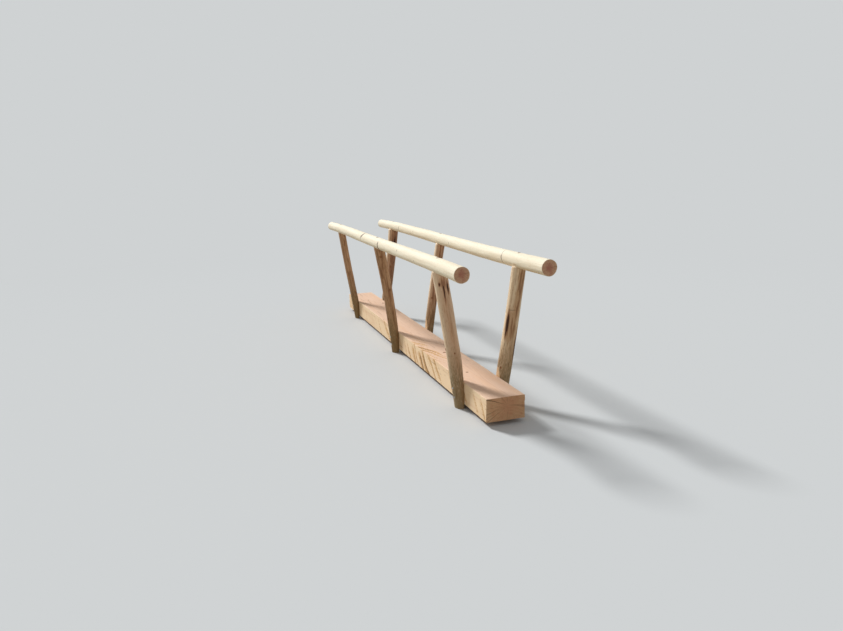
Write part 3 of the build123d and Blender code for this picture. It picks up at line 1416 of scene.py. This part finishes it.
    def build(self) -> bpy.types.Object:
        """Builds and dresses the baulk.

        Returns:
            The baulk.
        """
        low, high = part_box(self.node)
        middle, width = (low + high) / 2, high.x - low.x
        outline, normals = self.outline(width, high.z - low.z)
        along = np.linspace(low.y, high.y, round((high.y - low.y) / self.row_step) + 1)
        y, x = np.meshgrid(along, outline[:, 0] + middle.x, indexing="ij")
        z = np.broadcast_to(outline[:, 1] + middle.z, y.shape)
        upright = np.broadcast_to(normals[:, 0] ** 2, y.shape)
        depth, bitten = self.ripped(x, y, z, upright, (low.x, high.z))
        knot = self.knotty(x, y) * (normals[:, 1] > self.top_from)
        depth = (depth + self.warped(x, y, z) - self.knot_rise * knot).clip(0, None)
        rings = np.stack([x - normals[:, 0] * depth, y, z - normals[:, 1] * depth], -1)
        middles = np.array([(middle.x, end, middle.z) for end in (low.y, high.y)])
        points, faces = close_rings(rings, middles, 1, self.saw_ridge)
        baulk = make_mesh(self.name, points, faces)
        mesh = baulk.data
        edges = (np.abs(x) / width * 2) ** self.sap_ends
        sap = upright * self.sap_sides + self.sap_edges * edges
        for key, values in (("stroke", bitten), ("knot", knot), ("sap", sap)):
            mark(mesh, key, np.concatenate([values.ravel(), np.zeros(len(points) - values.size)]))
        mark(mesh, "grain", points)
        for finish in (self.finish, self.cut):
            mesh.materials.append(finish.material())
        numbers = np.zeros(len(faces), np.int32)
        numbers[(len(along) - 1) * len(outline) :] = 1
        mesh.polygons.foreach_set("material_index", numbers)
        smooth(mesh, self.crease)
        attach(baulk, BODY)
        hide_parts(self.node)
        return baulk


@dataclass
class Fixings:
    """The screws and washers, which stay as the frame has them and get their finish."""

    endings: tuple[str, ...] = ("_coach_screws", "_coach_washers", "_rail_screw", "_rail_washer")
    finish: ZincFinish = ZincFinish()

    def dress(self) -> int:
        """Gives every fixing its finish.

        Returns:
            How many nodes were dressed.
        """
        zinc = self.finish.material()
        found = [node for name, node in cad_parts.items() if name.endswith(self.endings)]
        for node in found:
            node.data.materials.clear()
            node.data.materials.append(zinc)
        return len(found)


@dataclass
class Studio:
    """The floor, the light and the camera."""

    floor: str = "#CFD2D3"
    # What the floor throws back onto the wood is less than the eye sees of it, so that the
    # undersides stay dark
    bounce: str = "#A99F8B"
    floor_reach: float = 60.0
    fade_from: float = 3.5
    fade_to: float = 9.0
    sky_light: float = 0.40
    key_light: float = 3.05
    key_angle: float = 11.0
    # As in the photograph, where the left rail's shadow lies along the right half of the top
    key_from: tuple[float, float, float] = (-0.56, 1.1, 1.0)
    eye: tuple[float, float, float] = (-2.0242, -6.5162, 1.8492)
    yaw: float = 18.1873
    pitch: float = -12.3485
    roll: float = -1.1418
    lens: float = 29.04
    clip_end: float = 300.0

    def seen(self, tree: Tree) -> Socket:
        """Tells rays from the camera, or through a mirror or glass, from rays that light the wood.

        Args:
            tree: the node tree that asks.

        Returns:
            1 for the first kind, 0 for the second.
        """
        ray = add_node(tree, "ShaderNodeLightPath")
        seen = ray.outputs["Is Camera Ray"]
        for kind in ("Is Glossy Ray", "Is Transmission Ray"):
            either = {0: seen, 1: ray.outputs[kind]}
            seen = add_node(tree, "ShaderNodeMath", either, operation="MAXIMUM").outputs[0]
        return seen

    def lay_floor(self) -> None:
        """Makes a plain pale floor that turns into the plain background far from the bridge."""
        r = self.floor_reach
        corners = np.array([(-r, -r, 0.0), (r, -r, 0.0), (r, r, 0.0), (-r, r, 0.0)])
        floor = make_mesh("studio_floor", corners, [(0, 1, 2, 3)])
        material = bpy.data.materials.new("studio_floor_matt_paint")
        tree = empty_tree(material)
        place = add_node(tree, "ShaderNodeTexCoord").outputs["Object"]
        far = add_node(tree, "ShaderNodeVectorMath", {0: place}, operation="LENGTH")
        edge = {"Value": far.outputs["Value"], "From Min": self.fade_from, "From Max": self.fade_to}
        fade = add_node(tree, "ShaderNodeMapRange", edge, interpolation_type="SMOOTHSTEP")
        shades = {0: self.seen(tree), UNDER: linear(self.bounce), OVER: linear(self.floor)}
        shade = add_node(tree, "ShaderNodeMix", shades, data_type="RGBA")
        paint = add_node(tree, "ShaderNodeBsdfDiffuse", {"Color": shade.outputs[MIXED]})
        plain = {"Color": linear(self.floor), "Strength": 1.0}
        glow = add_node(tree, "ShaderNodeEmission", plain)
        both = {0: fade.outputs[0], 1: paint.outputs[0], 2: glow.outputs[0]}
        mixed = add_node(tree, "ShaderNodeMixShader", both)
        add_node(tree, "ShaderNodeOutputMaterial", {"Surface": mixed.outputs[0]})
        floor.data.materials.append(material)

    def light(self) -> None:
        """Sets an even sky and one soft key from behind on the left."""
        world = bpy.data.worlds.new("studio")
        bpy.context.scene.world = world
        tree = empty_tree(world)
        plain = {"Color": linear(self.floor), "Strength": 1.0}
        shown = add_node(tree, "ShaderNodeBackground", plain)
        even = {"Color": (1, 1, 1, 1), "Strength": self.sky_light}
        sky = add_node(tree, "ShaderNodeBackground", even)
        both = {0: self.seen(tree), 1: sky.outputs[0], 2: shown.outputs[0]}
        mixed = add_node(tree, "ShaderNodeMixShader", both)
        add_node(tree, "ShaderNodeOutputWorld", {"Surface": mixed.outputs[0]})
        lamp = bpy.data.lights.new("soft_key", "SUN")
        lamp.energy = self.key_light
        lamp.angle = math.radians(self.key_angle)
        key = bpy.data.objects.new("soft_key", lamp)
        bpy.context.scene.collection.objects.link(key)
        key.rotation_mode = "QUATERNION"
        key.rotation_quaternion = Vector(self.key_from).to_track_quat("Z", "Y")

    def place_camera(self) -> None:
        """Puts the camera where the photograph was taken from."""
        yaw, pitch, roll = (math.radians(a) for a in (self.yaw, self.pitch, self.roll))
        flat = math.cos(pitch)
        ahead = Vector((math.sin(yaw) * flat, math.cos(yaw) * flat, math.sin(pitch)))
        level = Vector((math.cos(yaw), -math.sin(yaw), 0))
        upright = level.cross(ahead)
        right = level * math.cos(roll) + upright * math.sin(roll)
        up = upright * math.cos(roll) - level * math.sin(roll)
        turned = Matrix((right, up, -ahead)).transposed().to_4x4()
        camera = bpy.data.objects.new("camera", bpy.data.cameras.new("camera"))
        bpy.context.scene.collection.objects.link(camera)
        camera.data.lens = self.lens
        camera.data.clip_end = self.clip_end
        camera.matrix_world = Matrix.Translation(self.eye) @ turned
        bpy.context.scene.camera = camera

    def set_up(self) -> None:
        """Builds the whole studio."""
        bpy.context.scene.view_settings.view_transform = "Standard"
        self.lay_floor()
        self.light()
        self.place_camera()


LEFT_RAIL = RailLog(
    name="left_handrail",
    seed=3,
    side=Side.LEFT,
    butt=0.120,
    tip=0.104,
    lift=(-0.003, 0.001, -0.002, 0.001, -0.008),
    sway=(0.0, 0.002, 0.003, 0.001, 0.0),
    knots=(
        Knot(1.38, 150, 0.02),
        Knot(2.7, 20, 0.03, 0.0015),
        Knot(3.55, -120, 0.014),
        Knot(3.9, 60),
    ),
    scores=(
        Score(2.712, -46, 34, 0.045, -0.02),
        Score(2.745, -84, 26, 0.016, -0.012, 0.7),
        Score(2.05, -98, 44, 0.030, 0.0, 0.85),
        Score(1.39, -72, 9, 0.014, 0.0, 0.7),
        Score(0.905, -106, 8, 0.012, 0.0, 0.6),
    ),
    # The second scrap, a thin brown film along the underside, is painted shade
    scraps=(BarkAndShadeScrap(2.06, -126, 0.035, 16, 1.2), BarkAndShadeScrap(0.7, -158, 0.5, 12, 0.4)),
)
RIGHT_RAIL = RailLog(
    name="right_handrail",
    seed=8,
    side=Side.RIGHT,
    butt=0.125,
    tip=0.106,
    lift=(0.004, -0.003, 0.002, 0.007, -0.004),
    sway=(0.0, 0.001, 0.004, 0.002, 0.0),
    knots=(
        Knot(0.3, 80, 0.02),
        Knot(1.9, -165, 0.02),
        Knot(2.1, 20),
        Knot(3.0, -75, 0.012),
        Knot(3.8, 130),
    ),
    scores=(
        Score(0.679, -78, 74, 0.010, 0.02, 0.62),
        Score(0.682, -86, 20, 0.015, 0.006, 0.7),
        Score(1.865, -90, 9, 0.012, 0.0, 0.6),
        Score(3.573, -84, 32, 0.018, 0.0, 0.6),
    ),
    # The two films along the underside, at -140 and -150, are painted shade
    scraps=(
        BarkAndShadeScrap(0.25, -140, 0.55, 14, 0.45),
        BarkAndShadeScrap(1.3, -150, 0.6, 10, 0.4),
        BarkAndShadeScrap(0.45, -112, 0.05, 7, 0.6),
    ),
)
POSTS = (
    PostLog(
        name="near_left_upright",
        seed=21,
        skin=PALE_SKIN,
        pair=Pair.NEAR,
        rail=LEFT_RAIL,
        foot=0.112,
        head=0.116,
        foot_bow=(-0.002, 0.0),
        middle_bow=(-0.007, 0.003),
        knots=(Knot(0.55, 170), Knot(0.95, 60), Knot(0.52, -96, 0.014)),
        scraps=(
            BarkAndShadeScrap(1.015, -99, 0.19, 7, 1.3),
            BarkAndShadeScrap(1.04, -62, 0.1, 10, 1.3),
            BarkAndShadeScrap(1.07, -126, 0.03, 9, 1.2),
            BarkAndShadeScrap(1.08, -85, 0.11, 45, 0.62),
            # A long wide brown film over the side away from the key light: painted shade
            BarkAndShadeScrap(0.6, -92, 2.2, 76, 0.36),
        ),
    ),
    PostLog(
        name="middle_left_upright",
        seed=22,
        skin=DARK_SKIN,
        pair=Pair.MIDDLE,
        rail=LEFT_RAIL,
        foot=0.095,
        head=0.106,
        foot_bow=(0.014, 0.002),
        middle_bow=(-0.008, -0.003),
        knots=(
            Knot(1.065, -104, 0.024),
            Knot(0.72, -72, 0.024),
            Knot(0.675, 172),
            Knot(0.425, -162),
            Knot(0.86, 60),
        ),
    ),
    PostLog(
        name="far_left_upright",
        seed=23,
        skin=DARK_SKIN,
        pair=Pair.FAR,
        rail=LEFT_RAIL,
        foot=0.084,
        head=0.088,
        foot_bow=(-0.002, -0.003),
        middle_bow=(0.001, 0.002),
        knots=(Knot(0.4, -60, 0.02), Knot(0.8, 120, 0.02)),
    ),
    PostLog(
        name="near_right_upright",
        seed=24,
        skin=WORN_SKIN,
        pair=Pair.NEAR,
        rail=RIGHT_RAIL,
        foot=0.118,
        head=0.112,
        foot_bow=(0.004, 0.003),
        middle_bow=(0.008, -0.002),
        knots=(Knot(0.35, -150, 0.018), Knot(0.88, 30), Knot(0.24, -120, 0.014)),
        scraps=(
            BarkAndShadeScrap(0.7, -150, 0.17, 15, 1.5),
            BarkAndShadeScrap(0.69, -118, 0.26, 42, 0.6),
            BarkAndShadeScrap(1.05, -72, 0.3, 32, 0.7),
            BarkAndShadeScrap(0.88, -90, 0.35, 26, 0.6),
            BarkAndShadeScrap(0.52, -40, 0.26, 18, 1.2),
            # A wide brown film over the lower side away from the key light: painted shade
            BarkAndShadeScrap(0.4, -88, 0.8, 60, 0.32),
        ),
        scores=(Score(0.815, -124, 34, 0.007, 0.004, 0.5),),
    ),
    PostLog(
        name="middle_right_upright",
        seed=25,
        skin=PALE_SKIN,
        pair=Pair.MIDDLE,
        rail=RIGHT_RAIL,
        foot=0.096,
        head=0.099,
        foot_bow=(-0.008, -0.002),
        middle_bow=(-0.008, 0.003),
        knots=(Knot(0.6, -120, 0.02), Knot(0.9, 60, 0.022)),
        # A long wide scrap of bast over the side away from the key light: painted shade
        scraps=(BarkAndShadeScrap(0.6, -78, 2.2, 66, 0.76),),
    ),
    PostLog(
        name="far_right_upright",
        seed=26,
        skin=PALE_SKIN,
        pair=Pair.FAR,
        rail=RIGHT_RAIL,
        foot=0.110,
        head=0.124,
        foot_bow=(0.010, 0.002),
        middle_bow=(0.016, -0.002),
        knots=(Knot(0.7, -100, 0.022),),
        # The first scrap, long and wide over the side away from the key light, is painted shade
        scraps=(BarkAndShadeScrap(0.6, -76, 2.2, 62, 0.9), BarkAndShadeScrap(0.98, -86, 0.34, 50, 1.12)),
    ),
)


def main() -> None:
    logging.basicConfig(level=logging.INFO)
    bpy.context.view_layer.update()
    for part in (SawnBaulk(), LEFT_RAIL, RIGHT_RAIL, *POSTS):
        piece = part.build()
        LOG.info("%s: %d faces", piece.name, len(piece.data.polygons))
    LOG.info("fixings dressed: %d", Fixings().dress())
    Studio().set_up()


if __name__ == "__main__":
    main()
